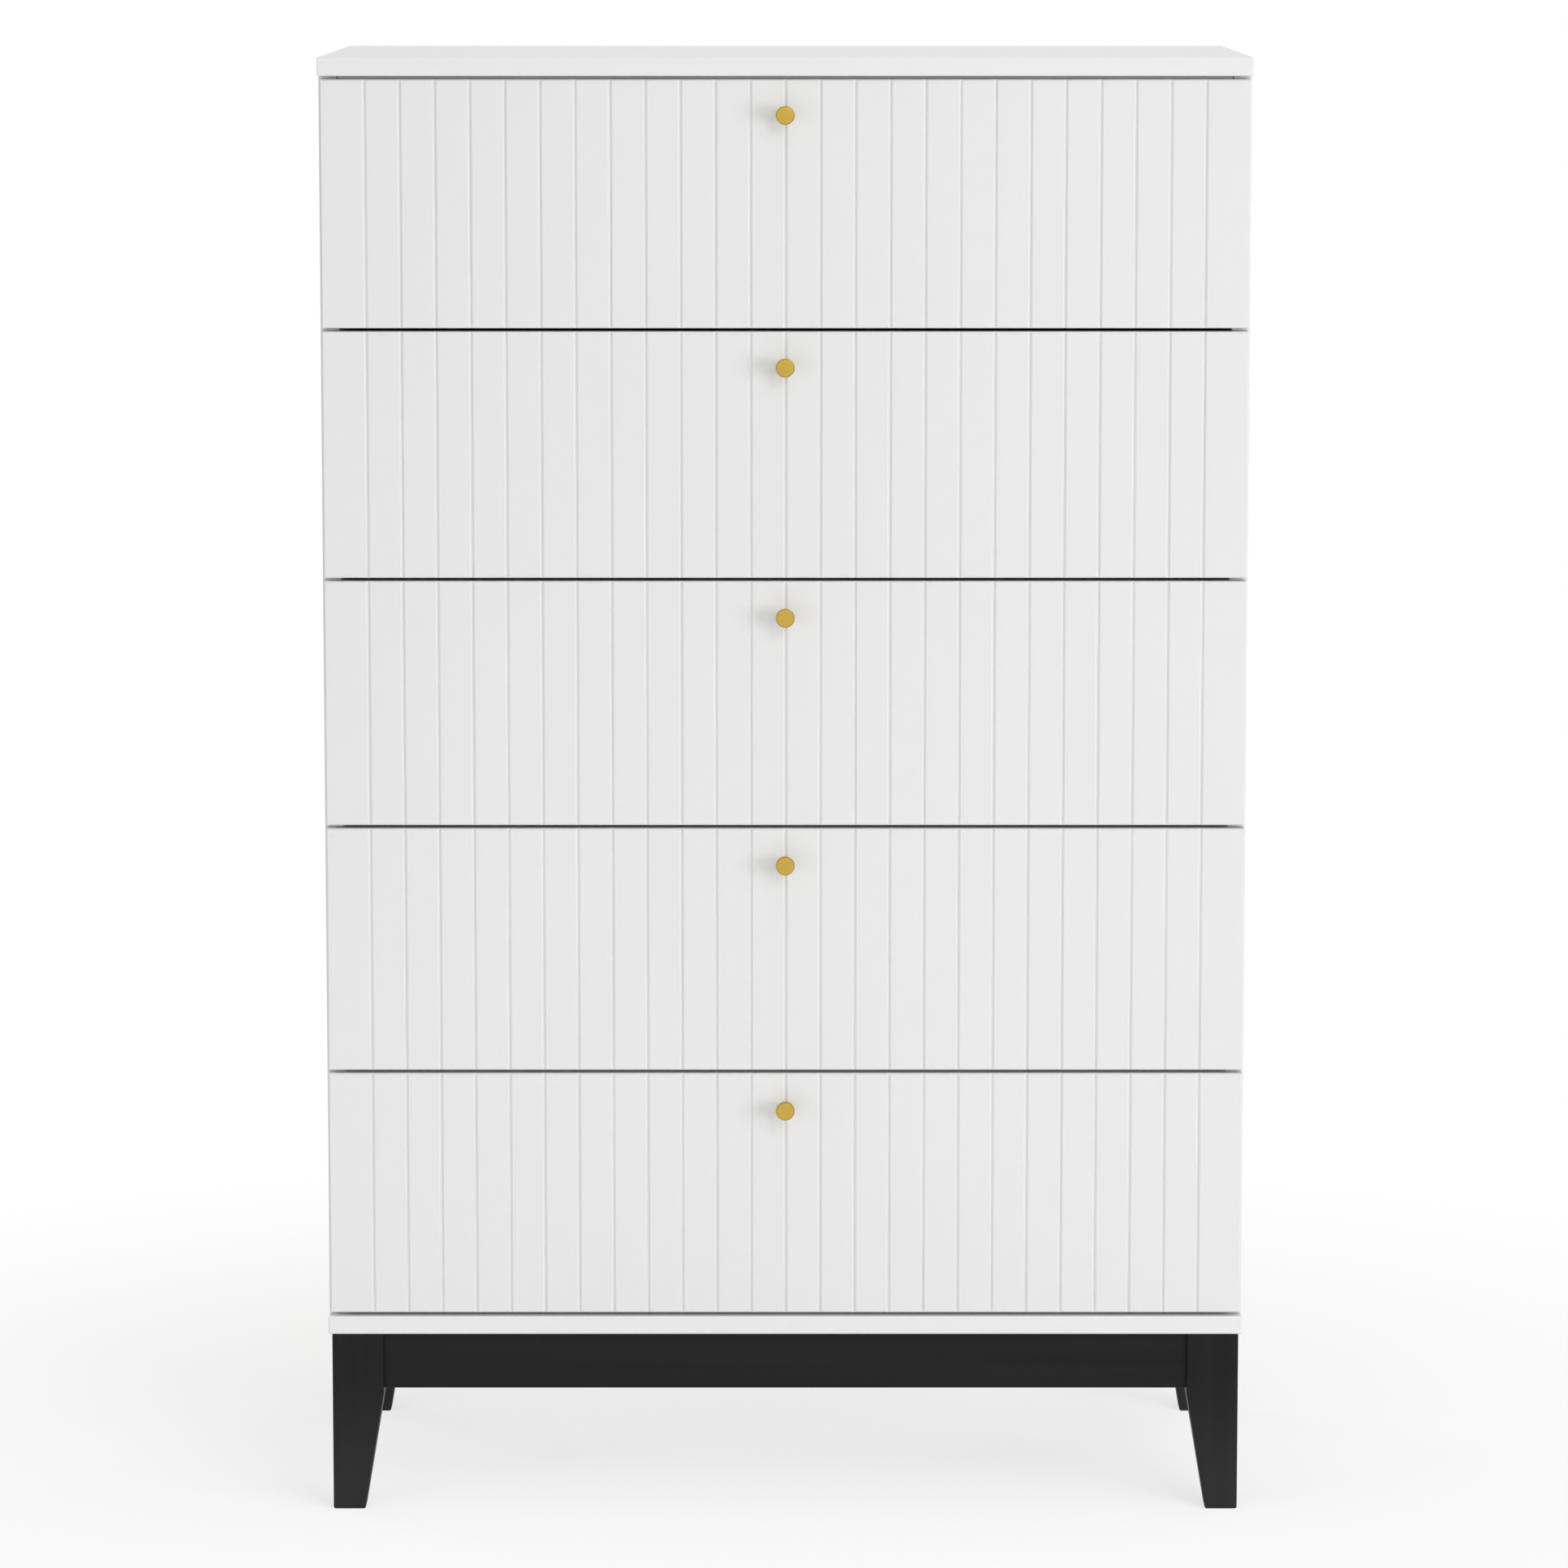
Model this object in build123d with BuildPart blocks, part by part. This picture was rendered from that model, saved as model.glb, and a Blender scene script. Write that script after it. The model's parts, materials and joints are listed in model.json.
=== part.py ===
"""Tall chest of five grooved drawers on a black tapered-leg base. Millimetres, front towards -Y."""

import os
from math import sqrt

from build123d import *

os.makedirs("parts", exist_ok=True)

# Case
case_width = 800.0
case_depth = 400.0  # top and bottom panels, without the knobs
panel_thickness = 16.0  # top and bottom panels
panel_edge_radius = 1.5
side_thickness = 16.0
side_edge_radius = 1.0
rail_width = 60.0  # flat rails under the top panel
rail_thickness = 16.0
rail_end_gap = 0.8
rail_edge_radius = 1.0
back_thickness = 3.0
back_inset = 8.0  # bare rim behind the back panel
back_groove_depth = 6.0
groove_play = 0.2  # room on each face of a panel in its groove
groove_end_play = 0.5  # room at the bottom of that groove
anchor_hole_diameter = 3.2  # wall strap holes in the top panel's rear edge
anchor_hole_depth = 25.0
anchor_spacing = 64.0

# Drawer fronts
drawer_count = 5
front_height = 212.5
front_thickness = 16.0
front_gap = 3.0  # between fronts, and to the top and bottom panels
front_side_inset = 2.0  # front's end, in from the side panel's outer face
front_setback = 2.0  # front's face, behind the top panel's front edge
front_edge_chamfer = 1.2
groove_pitch = 30.0
groove_width = 4.0
groove_depth = 2.0
groove_end_margin = 30.0  # least distance from a groove to the front's end

# Knobs
knob_diameter = 16.0
knob_projection = 20.0
knob_head_length = 7.0
knob_flare_length = 4.0  # cone between the waist and the head
knob_waist_diameter = 8.5
knob_rim_chamfer = 0.9
knob_drop = 30.0  # knob's axis, below the front's top edge
knob_screw_diameter = 4.0
knob_screw_grip = 9.0
knob_screw_end_gap = 1.0
knob_screw_play = 0.25  # radial, in the front's hole
knob_thread_play = 0.05  # radial, in the knob
knob_screw_head_diameter = 9.0
knob_screw_head_height = 2.2

# Drawer boxes
box_side_thickness = 12.0
box_side_height = 150.0
box_rise = 15.0  # box side's lower edge, above the front's lower edge
box_rear_gap = 21.0  # from the box to the back panel
box_top_radius = 2.0
box_lower_chamfer = 1.0
bottom_thickness = 3.0
bottom_rise = 10.0  # bottom's groove, above the side's lower edge
bottom_groove_depth = 5.0

# Roller slides
sheet = 1.0
bend_radius = 0.5  # inside of each bend
roller_diameter = 19.0
roller_width = 6.5
roller_gap = 0.3  # between a roller and the flange that it runs on
roller_side_play = 0.5
channel_headroom = 1.0
lip_height = 2.5  # edge that keeps the rollers on the track
upper_flange_reach = 4.5
flange_tip_gap = 1.0
runner_seat = 2.0  # box side's lower edge, above the track
runner_front_gap = 2.0  # cabinet runner's front end, behind the side panel's front edge
axle_inset = 15.0  # from a runner's end to its axle
axle_diameter = 5.0
axle_play = 0.05  # radial
axle_collar_diameter = 8.0  # shoulder and rivet head
rivet_head = 1.0
stop_setback = 46.0  # out-stop tab, behind the front axle
stop_drop = 6.0
stop_gap = 0.8

# Base
leg_height = 157.5
leg_width = 45.0
foot_width = 28.0
foot_edge_radius = 2.0
leg_inset = 3.0  # legs stand in from the bottom panel's edges
leg_edge_radius = 2.0
apron_height = 50.0
apron_thickness = 18.0
apron_recess = 5.0  # apron's face, behind the legs' faces
apron_edge_radius = 1.5
taper_drop = 4.0  # legs stay square this far below the aprons
tenon_thickness = 8.0
tenon_length = 15.0
tenon_shoulder = 6.0  # apron left above and below a tenon
mortise_play = 0.15
block_height = 28.0
block_thickness = 24.0
block_leg_gap = 1.0
base_bolt_diameter = 6.0
base_bolt_cover = 4.0  # panel left above a bolt's end
base_bolt_play = 0.25
base_bolt_end_gap = 1.0
base_bolt_head_diameter = 10.0
base_bolt_head_height = 4.0
hex_key = 5.0  # across flats
hex_key_depth = 2.5

# Front to back, centred on the whole depth with the knobs
knob_reach = knob_projection - front_setback
y_rear = (case_depth + knob_reach) / 2
y_panel_front = y_rear - case_depth
y_panel_mid = y_rear - case_depth / 2
y_front_face = y_panel_front + front_setback
y_side_front = y_front_face + front_thickness
y_back_rear = y_rear - back_inset
y_back_front = y_back_rear - back_thickness
y_back_mid = y_back_rear - back_thickness / 2
y_box_rear = y_back_front - box_rear_gap
box_length = y_box_rear - y_side_front

# Floor to top
case_height = drawer_count * front_height + (drawer_count + 1) * front_gap
z_case_low = leg_height + panel_thickness
z_case_top = z_case_low + case_height
overall_height = z_case_top + panel_thickness
drawer_pitch = front_height + front_gap

# Side to side
side_inner = case_width / 2 - side_thickness
front_width = case_width - 2 * front_side_inset
grooves_each_half = int((front_width / 2 - groove_end_margin) / groove_pitch)
groove_count = 2 * grooves_each_half + 1
slide_width = 3 * sheet + rivet_head + roller_width + 4 * roller_side_play
box_outer = side_inner - slide_width
box_inner = box_outer - box_side_thickness
back_tongue = back_groove_depth - groove_end_play
back_groove_width = back_thickness + 2 * groove_play
bottom_tongue = bottom_groove_depth - groove_end_play
bottom_groove_width = bottom_thickness + 2 * groove_play

# Slide section, measured from the side panel's inner face and up from the track
roller_radius = roller_diameter / 2
roller_start = sheet + rivet_head + 2 * roller_side_play
lip_outside = roller_start + roller_width + roller_side_play + sheet
running_flange_tip = upper_flange_reach + flange_tip_gap
flange_underside = roller_diameter + 2 * roller_gap + channel_headroom
rear_axle_rise = roller_radius + roller_gap
front_axle_rise = flange_underside - roller_gap - roller_radius
outer_bend = bend_radius + sheet
collar_end = roller_start - roller_side_play - sheet
journal_end = collar_end + roller_width + 2 * roller_side_play
y_runner_front = y_side_front + runner_front_gap
y_runner_rear = y_runner_front + box_length
y_front_axle = y_runner_front + axle_inset
y_rear_axle = y_box_rear - axle_inset
y_stop = y_front_axle + stop_setback + sheet
drawer_travel = y_rear_axle - roller_radius - stop_gap - y_stop

# Base
leg_outer_x = case_width / 2 - leg_inset
leg_mid_y = case_depth / 2 - leg_inset  # from the panels' middle line
z_taper = leg_height - apron_height - taper_drop
z_apron_low = leg_height - apron_height
z_apron_mid = leg_height - apron_height / 2
tenon_height = apron_height - 2 * tenon_shoulder
apron_mid_depth = apron_recess + apron_thickness / 2
apron_inner_depth = apron_recess + apron_thickness
block_near = 2 * (leg_width - apron_inner_depth) + block_leg_gap * sqrt(2)
block_far = block_near + block_thickness * sqrt(2)
block_mid = (block_near + block_far) / 4
base_bolt_grip = panel_thickness - base_bolt_cover
base_bolt_hole = base_bolt_diameter / 2 + base_bolt_play
corners = [(hand, side) for side in (-1, 1) for hand in (-1, 1)]
bolt_points = [
    (
        hand * (leg_outer_x - apron_inner_depth - block_mid),
        y_panel_mid + side * (leg_mid_y - apron_inner_depth - block_mid),
    )
    for hand, side in corners
]


def save(builder, name):
    builder.part.label = name
    export_step(builder.part, f"parts/{name}.step")


def front_low(drawer):
    """Lower edge of a drawer front; drawer 1 is the top one."""
    return z_case_low + front_gap + (drawer_count - drawer) * drawer_pitch


def track_height(drawer):
    return front_low(drawer) + box_rise - runner_seat


def make_top_panel():
    with BuildPart() as top_panel:
        with BuildSketch(Plane.XY.offset(z_case_top)):
            with Locations((0, y_panel_mid)):
                Rectangle(case_width, case_depth)
        extrude(amount=panel_thickness)
        fillet(top_panel.edges(), panel_edge_radius)
        with BuildSketch(Plane.XY.offset(z_case_top)):
            with Locations((0, y_back_mid)):
                Rectangle(2 * (side_inner + back_groove_depth), back_groove_width)
        extrude(amount=back_groove_depth, mode=Mode.SUBTRACT)
        with BuildSketch(Plane.XZ.offset(-y_rear)):
            with Locations((0, z_case_top + panel_thickness / 2)):
                with GridLocations(anchor_spacing, 1, 2, 1):
                    Circle(anchor_hole_diameter / 2)
        extrude(amount=anchor_hole_depth, mode=Mode.SUBTRACT)
    save(top_panel, "top_panel")


def make_bottom_panel():
    with BuildPart() as bottom_panel:
        with BuildSketch(Plane.XY.offset(leg_height)):
            with Locations((0, y_panel_mid)):
                Rectangle(case_width, case_depth)
        extrude(amount=panel_thickness)
        fillet(bottom_panel.edges(), panel_edge_radius)
        with BuildSketch(Plane.XY.offset(z_case_low)):
            with Locations((0, y_back_mid)):
                Rectangle(2 * (side_inner + back_groove_depth), back_groove_width)
        extrude(amount=-back_groove_depth, mode=Mode.SUBTRACT)
        with BuildSketch(Plane.XY.offset(leg_height)):
            with Locations(*bolt_points):
                Circle(base_bolt_hole)
        extrude(amount=base_bolt_grip + base_bolt_end_gap, mode=Mode.SUBTRACT)
    save(bottom_panel, "bottom_panel")


def make_side_panel(name, hand):
    """hand is -1 for the left panel and 1 for the right one."""
    side_depth = y_rear - y_side_front
    with BuildPart() as side_panel:
        with BuildSketch(Plane.XY.offset(z_case_low)):
            with Locations((hand * (side_inner + side_thickness / 2), y_rear - side_depth / 2)):
                Rectangle(side_thickness, side_depth)
        extrude(amount=case_height)
        fillet(side_panel.edges().filter_by(Axis.Z), side_edge_radius)
        with BuildSketch(Plane.XY.offset(z_case_low)):
            with Locations((hand * (side_inner + back_groove_depth / 2), y_back_mid)):
                Rectangle(back_groove_depth, back_groove_width)
        extrude(amount=case_height, mode=Mode.SUBTRACT)
    save(side_panel, name)


def make_back_panel():
    with BuildPart() as back_panel:
        with BuildSketch(Plane.XZ.offset(-y_back_rear)):
            with Locations((0, z_case_low + case_height / 2)):
                Rectangle(2 * (side_inner + back_tongue), case_height + 2 * back_tongue)
        extrude(amount=back_thickness)
    save(back_panel, "back_panel")


def make_top_rails():
    rail_middles = (
        y_side_front + rail_width / 2,
        y_back_front - groove_play - rail_width / 2,
    )
    with BuildPart() as top_rails:
        with BuildSketch(Plane.XY.offset(z_case_top - rail_thickness)):
            with Locations(*[(0, middle) for middle in rail_middles]):
                Rectangle(2 * (side_inner - rail_end_gap), rail_width)
        extrude(amount=rail_thickness)
        fillet(top_rails.edges().filter_by(Axis.X).group_by(Axis.Z)[0], rail_edge_radius)
    save(top_rails, "top_rails")


def axle_outline():
    """Half section of a riveted axle: collar against the web, journal, rivet head."""
    collar = axle_collar_diameter / 2
    journal = axle_diameter / 2
    head_end = journal_end + rivet_head
    return [
        (0, 0),
        (0, collar),
        (collar_end, collar),
        (collar_end, journal),
        (journal_end, journal),
        (journal_end, collar),
        (head_end, collar),
        (head_end, 0),
    ]


def make_cabinet_runners():
    """Channels on the side panels, all ten, each with the axle of its front roller."""
    web = -side_inner
    with BuildPart() as cabinet_runners:
        for drawer in range(1, drawer_count + 1):
            track = track_height(drawer)
            with BuildSketch(Plane.XZ.offset(-y_runner_rear)):
                with BuildLine():
                    FilletPolyline(
                        (web + upper_flange_reach, track + flange_underside + sheet),
                        (web, track + flange_underside + sheet),
                        (web, track - sheet),
                        (web + lip_outside, track - sheet),
                        (web + lip_outside, track + lip_height),
                        radius=outer_bend,
                    )
                    offset(amount=sheet, side=Side.LEFT)
                make_face()
            extrude(amount=box_length)
            with BuildSketch(Plane.XZ.offset(-y_stop)):
                stop_corner = (web + sheet, track + flange_underside + sheet / 2)
                with Locations(stop_corner):
                    Rectangle(
                        upper_flange_reach - sheet,
                        stop_drop,
                        align=(Align.MIN, Align.MAX),
                    )
            extrude(amount=sheet)
            axle_centre = (web + sheet, y_front_axle, track + front_axle_rise)
            with BuildSketch(Plane(axle_centre)):
                with BuildLine():
                    Polyline(*axle_outline(), close=True)
                make_face()
            revolve(axis=Axis(axle_centre, (1, 0, 0)))
        mirror(about=Plane.YZ)
    save(cabinet_runners, "cabinet_runners")


def make_rollers(name, y_axle, z_axle):
    """Left and right nylon rollers of one drawer."""
    with BuildPart() as rollers:
        with BuildSketch(Plane.YZ.offset(roller_start - side_inner)):
            with Locations((y_axle, z_axle)):
                Circle(roller_radius)
                Circle(axle_diameter / 2 + axle_play, mode=Mode.SUBTRACT)
        extrude(amount=roller_width)
        mirror(about=Plane.YZ)
    save(rollers, name)


def make_drawer_front(name, low):
    with BuildPart() as drawer_front:
        with BuildSketch(Plane.XZ.offset(-y_side_front)):
            with Locations((0, low + front_height / 2)):
                Rectangle(front_width, front_height)
        extrude(amount=front_thickness)
        chamfer(drawer_front.faces().sort_by(Axis.Y)[0].edges(), front_edge_chamfer)
        with BuildSketch(Plane.XY.offset(low)):
            with Locations((0, y_front_face)):
                with GridLocations(groove_pitch, 1, groove_count, 1):
                    Polygon(
                        (-groove_width / 2, 0),
                        (groove_width / 2, 0),
                        (0, groove_depth),
                        align=None,
                    )
        extrude(amount=front_height, mode=Mode.SUBTRACT)
        with BuildSketch(Plane.XZ.offset(-y_side_front)):
            with Locations((0, low + front_height - knob_drop)):
                Circle(knob_screw_diameter / 2 + knob_screw_play)
        extrude(amount=front_thickness, mode=Mode.SUBTRACT)
        with BuildSketch(Plane.XZ.offset(-y_side_front)):
            with Locations((0, low + box_rise + bottom_rise + bottom_groove_width / 2)):
                Rectangle(2 * (box_inner + bottom_groove_depth), bottom_groove_width)
        extrude(amount=bottom_groove_depth, mode=Mode.SUBTRACT)
    save(drawer_front, name)


def make_knob(name, z_knob):
    """Turned knob, and the screw that holds it from inside the drawer."""
    seat = (0, y_front_face, z_knob)
    thread = knob_screw_diameter / 2 + knob_thread_play
    hole_end = knob_screw_grip + knob_screw_end_gap
    waist = knob_waist_diameter / 2
    head = knob_diameter / 2
    head_start = knob_projection - knob_head_length
    flare_start = head_start - knob_flare_length
    screw = knob_screw_diameter / 2
    screw_head = knob_screw_head_diameter / 2
    screw_end = front_thickness + knob_screw_head_height
    with BuildPart() as knob:
        with BuildSketch(Plane(seat)):
            with BuildLine():
                Polyline((0, -hole_end), (thread, -hole_end), (thread, 0), (waist, 0))
                Polyline((waist, 0), (waist, -flare_start), (head, -head_start))
                Polyline((head, -head_start), (head, -knob_projection), (0, -knob_projection))
                Line((0, -knob_projection), (0, -hole_end))
            make_face()
        revolve(axis=Axis(seat, (0, 1, 0)))
        chamfer(knob.edges().group_by(Axis.Y)[0], knob_rim_chamfer)
        with BuildSketch(Plane(seat)):
            with BuildLine():
                Polyline((0, -knob_screw_grip), (screw, -knob_screw_grip), (screw, front_thickness))
                Polyline((screw, front_thickness), (screw_head, front_thickness), (screw_head, screw_end))
                Polyline((screw_head, screw_end), (0, screw_end), (0, -knob_screw_grip))
            make_face()
        revolve(axis=Axis(seat, (0, 1, 0)))
    save(knob, name)


def make_box_side(name, low, hand):
    """hand is -1 for the left side and 1 for the right one."""
    middle = hand * (box_outer - box_side_thickness / 2)
    with BuildPart() as box_side:
        with BuildSketch(Plane.XZ.offset(-y_box_rear)) as section:
            with Locations((middle, low + box_side_height / 2)):
                Rectangle(box_side_thickness, box_side_height)
            fillet(section.vertices().group_by(Axis.Z)[-1], box_top_radius)
            chamfer(section.vertices().group_by(Axis.Z)[0], box_lower_chamfer)
            groove_middle = hand * (box_inner + bottom_groove_depth / 2)
            with Locations((groove_middle, low + bottom_rise + bottom_groove_width / 2)):
                Rectangle(bottom_groove_depth, bottom_groove_width, mode=Mode.SUBTRACT)
        extrude(amount=box_length)
    save(box_side, name)


def make_box_back(name, low):
    """Stands on the drawer's bottom, between the sides."""
    back_low = low + bottom_rise + groove_play + bottom_thickness
    back_height = low + box_side_height - back_low
    with BuildPart() as box_back:
        with BuildSketch(Plane.XZ.offset(-y_box_rear)):
            with Locations((0, back_low + back_height / 2)):
                Rectangle(2 * box_inner, back_height)
        extrude(amount=box_side_thickness)
        fillet(box_back.edges().filter_by(Axis.X).group_by(Axis.Z)[-1], box_top_radius)
    save(box_back, name)


def make_box_bottom(name, low):
    bottom_length = box_length + bottom_tongue
    with BuildPart() as box_bottom:
        with BuildSketch(Plane.XY.offset(low + bottom_rise + groove_play)):
            with Locations((0, y_box_rear - bottom_length / 2)):
                Rectangle(2 * (box_inner + bottom_tongue), bottom_length)
        extrude(amount=bottom_thickness)
    save(box_bottom, name)


def make_drawer_runners(name, track):
    """Runners under the drawer's sides, each with the axle of its rear roller."""
    face = -box_outer
    flange_top = track + flange_underside + sheet
    axle_centre = (face - sheet, y_rear_axle, track + rear_axle_rise)
    with BuildPart() as drawer_runners:
        with BuildSketch(Plane.XZ.offset(-y_box_rear)):
            with BuildLine():
                FilletPolyline(
                    (running_flange_tip - side_inner, flange_top),
                    (face, flange_top),
                    (face, track + runner_seat),
                    (face + box_side_thickness, track + runner_seat),
                    radius=[outer_bend, bend_radius],
                )
                offset(amount=sheet, side=Side.RIGHT)
            make_face()
        extrude(amount=box_length)
        with BuildSketch(Plane(axle_centre, x_dir=(-1, 0, 0))):
            with BuildLine():
                Polyline(*axle_outline(), close=True)
            make_face()
        revolve(axis=Axis(axle_centre, (1, 0, 0)))
        mirror(about=Plane.YZ)
    save(drawer_runners, name)


def make_leg(name, hand, side):
    """hand is -1 left or 1 right, side is -1 front or 1 rear. The two inner faces taper."""
    outer_x = hand * leg_outer_x
    outer_y = y_panel_mid + side * leg_mid_y
    tenon_depth = tenon_length + mortise_play
    mortise = (tenon_thickness + 2 * mortise_play, tenon_height + 2 * mortise_play)
    with BuildPart() as leg:
        with BuildSketch(Plane.XZ.offset(-outer_y)):
            with BuildLine():
                Polyline(
                    (outer_x, 0),
                    (outer_x, leg_height),
                    (outer_x - hand * leg_width, leg_height),
                    (outer_x - hand * leg_width, z_taper),
                    (outer_x - hand * foot_width, 0),
                    close=True,
                )
            make_face()
        extrude(amount=side * leg_width)
        with BuildSketch(Plane.YZ.offset(outer_x)):
            with BuildLine():
                Polyline(
                    (outer_y, 0),
                    (outer_y, leg_height),
                    (outer_y - side * leg_width, leg_height),
                    (outer_y - side * leg_width, z_taper),
                    (outer_y - side * foot_width, 0),
                    close=True,
                )
            make_face()
        extrude(amount=-hand * leg_width, mode=Mode.INTERSECT)
        fillet(leg.edges().filter_by(Plane.XY, reverse=True), leg_edge_radius)
        fillet(leg.faces().sort_by(Axis.Z)[0].edges(), foot_edge_radius)
        with BuildSketch(Plane.YZ.offset(outer_x - hand * leg_width)):
            with Locations((outer_y - side * apron_mid_depth, z_apron_mid)):
                Rectangle(*mortise)
        extrude(amount=hand * tenon_depth, mode=Mode.SUBTRACT)
        with BuildSketch(Plane.XZ.offset(side * leg_width - outer_y)):
            with Locations((outer_x - hand * apron_mid_depth, z_apron_mid)):
                Rectangle(*mortise)
        extrude(amount=-side * tenon_depth, mode=Mode.SUBTRACT)
    save(leg, name)


def make_long_aprons():
    """Front and rear aprons, each with a tenon at both ends."""
    span = 2 * (leg_outer_x - leg_width)
    with BuildPart() as long_aprons:
        for side in (-1, 1):
            middle = y_panel_mid + side * (leg_mid_y - apron_mid_depth)
            with BuildSketch(Plane.XY.offset(z_apron_low)):
                with Locations((0, middle)):
                    Rectangle(span, apron_thickness)
            extrude(amount=apron_height)
            with BuildSketch(Plane.YZ.offset(-span / 2 - tenon_length)):
                with Locations((middle, z_apron_mid)):
                    Rectangle(tenon_thickness, tenon_height)
            extrude(amount=span + 2 * tenon_length)
        fillet(long_aprons.edges().filter_by(Axis.X).group_by(Axis.Z)[0], apron_edge_radius)
    save(long_aprons, "front_and_rear_aprons")


def make_side_aprons():
    """Left and right aprons, each with a tenon at both ends."""
    span = 2 * (leg_mid_y - leg_width)
    with BuildPart() as side_aprons:
        for hand in (-1, 1):
            middle = hand * (leg_outer_x - apron_mid_depth)
            with BuildSketch(Plane.XY.offset(z_apron_low)):
                with Locations((middle, y_panel_mid)):
                    Rectangle(apron_thickness, span)
            extrude(amount=apron_height)
            with BuildSketch(Plane.XZ.offset(-y_panel_mid - span / 2 - tenon_length)):
                with Locations((middle, z_apron_mid)):
                    Rectangle(tenon_thickness, tenon_height)
            extrude(amount=span + 2 * tenon_length)
        fillet(side_aprons.edges().filter_by(Axis.Y).group_by(Axis.Z)[0], apron_edge_radius)
    save(side_aprons, "side_aprons")


def make_corner_blocks():
    """Diagonal braces between the aprons, drilled for the base bolts."""
    with BuildPart() as corner_blocks:
        for hand, side in corners:
            corner_x = hand * (leg_outer_x - apron_inner_depth)
            corner_y = y_panel_mid + side * (leg_mid_y - apron_inner_depth)
            with BuildSketch(Plane.XY.offset(leg_height - block_height)):
                with BuildLine():
                    Polyline(
                        (corner_x - hand * block_near, corner_y),
                        (corner_x - hand * block_far, corner_y),
                        (corner_x, corner_y - side * block_far),
                        (corner_x, corner_y - side * block_near),
                        close=True,
                    )
                make_face()
            extrude(amount=block_height)
        with BuildSketch(Plane.XY.offset(leg_height - block_height)):
            with Locations(*bolt_points):
                Circle(base_bolt_hole)
        extrude(amount=block_height, mode=Mode.SUBTRACT)
    save(corner_blocks, "corner_blocks")


def make_base_bolts():
    """Socket-head bolts up through the corner blocks into the bottom panel."""
    z_head = leg_height - block_height - base_bolt_head_height
    with BuildPart() as base_bolts:
        with BuildSketch(Plane.XY.offset(z_head)):
            with Locations(*bolt_points):
                Circle(base_bolt_head_diameter / 2)
        extrude(amount=base_bolt_head_height)
        with BuildSketch(Plane.XY.offset(z_head)):
            with Locations(*bolt_points):
                Circle(base_bolt_diameter / 2)
        extrude(amount=base_bolt_head_height + block_height + base_bolt_grip)
        with BuildSketch(Plane.XY.offset(z_head)):
            with Locations(*bolt_points):
                RegularPolygon(hex_key / 2, 6, major_radius=False)
        extrude(amount=hex_key_depth, mode=Mode.SUBTRACT)
    save(base_bolts, "base_bolts")


make_top_panel()
make_bottom_panel()
make_side_panel("left_side_panel", -1)
make_side_panel("right_side_panel", 1)
make_back_panel()
make_top_rails()
make_cabinet_runners()
for drawer in range(1, drawer_count + 1):
    label = f"drawer_{drawer}"
    low = front_low(drawer)
    box_low = low + box_rise
    track = track_height(drawer)
    make_drawer_front(f"{label}_front", low)
    make_knob(f"{label}_knob", low + front_height - knob_drop)
    make_box_side(f"{label}_left_side", box_low, -1)
    make_box_side(f"{label}_right_side", box_low, 1)
    make_box_back(f"{label}_back", box_low)
    make_box_bottom(f"{label}_bottom", box_low)
    make_drawer_runners(f"{label}_runners", track)
    make_rollers(f"{label}_runner_rollers", y_rear_axle, track + rear_axle_rise)
    make_rollers(f"{label}_cabinet_rollers", y_front_axle, track + front_axle_rise)
make_leg("front_left_leg", -1, -1)
make_leg("front_right_leg", 1, -1)
make_leg("rear_left_leg", -1, 1)
make_leg("rear_right_leg", 1, 1)
make_long_aprons()
make_side_aprons()
make_corner_blocks()
make_base_bolts()

print(f"overall {case_width} x {case_depth + knob_reach} x {overall_height} mm")
print(f"drawer travel {drawer_travel:.2f} mm, {groove_count} grooves in each front")
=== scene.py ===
import json
import math
import bmesh
import bpy
from mathutils import Matrix, Vector


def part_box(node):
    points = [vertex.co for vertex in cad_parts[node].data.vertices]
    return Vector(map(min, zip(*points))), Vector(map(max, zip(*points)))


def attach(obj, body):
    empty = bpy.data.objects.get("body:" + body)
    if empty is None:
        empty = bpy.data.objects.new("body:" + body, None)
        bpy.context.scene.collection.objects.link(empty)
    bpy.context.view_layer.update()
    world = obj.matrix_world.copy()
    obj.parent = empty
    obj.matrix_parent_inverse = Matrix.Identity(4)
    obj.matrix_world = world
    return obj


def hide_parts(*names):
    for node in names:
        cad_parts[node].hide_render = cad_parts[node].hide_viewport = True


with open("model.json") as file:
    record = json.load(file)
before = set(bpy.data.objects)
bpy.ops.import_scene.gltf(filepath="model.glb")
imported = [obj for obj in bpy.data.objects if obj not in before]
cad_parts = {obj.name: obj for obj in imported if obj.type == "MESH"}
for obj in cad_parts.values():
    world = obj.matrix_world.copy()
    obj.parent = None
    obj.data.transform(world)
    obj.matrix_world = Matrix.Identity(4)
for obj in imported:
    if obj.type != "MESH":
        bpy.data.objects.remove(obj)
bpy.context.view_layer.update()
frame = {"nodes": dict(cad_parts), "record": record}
nodes = frame["nodes"]
drawerCount = 5
drawers = [f"drawer_{i + 1}" for i in range(drawerCount)]
mm = 0.001
print("frame loaded,", len(nodes), "nodes")


# shader maths

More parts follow.
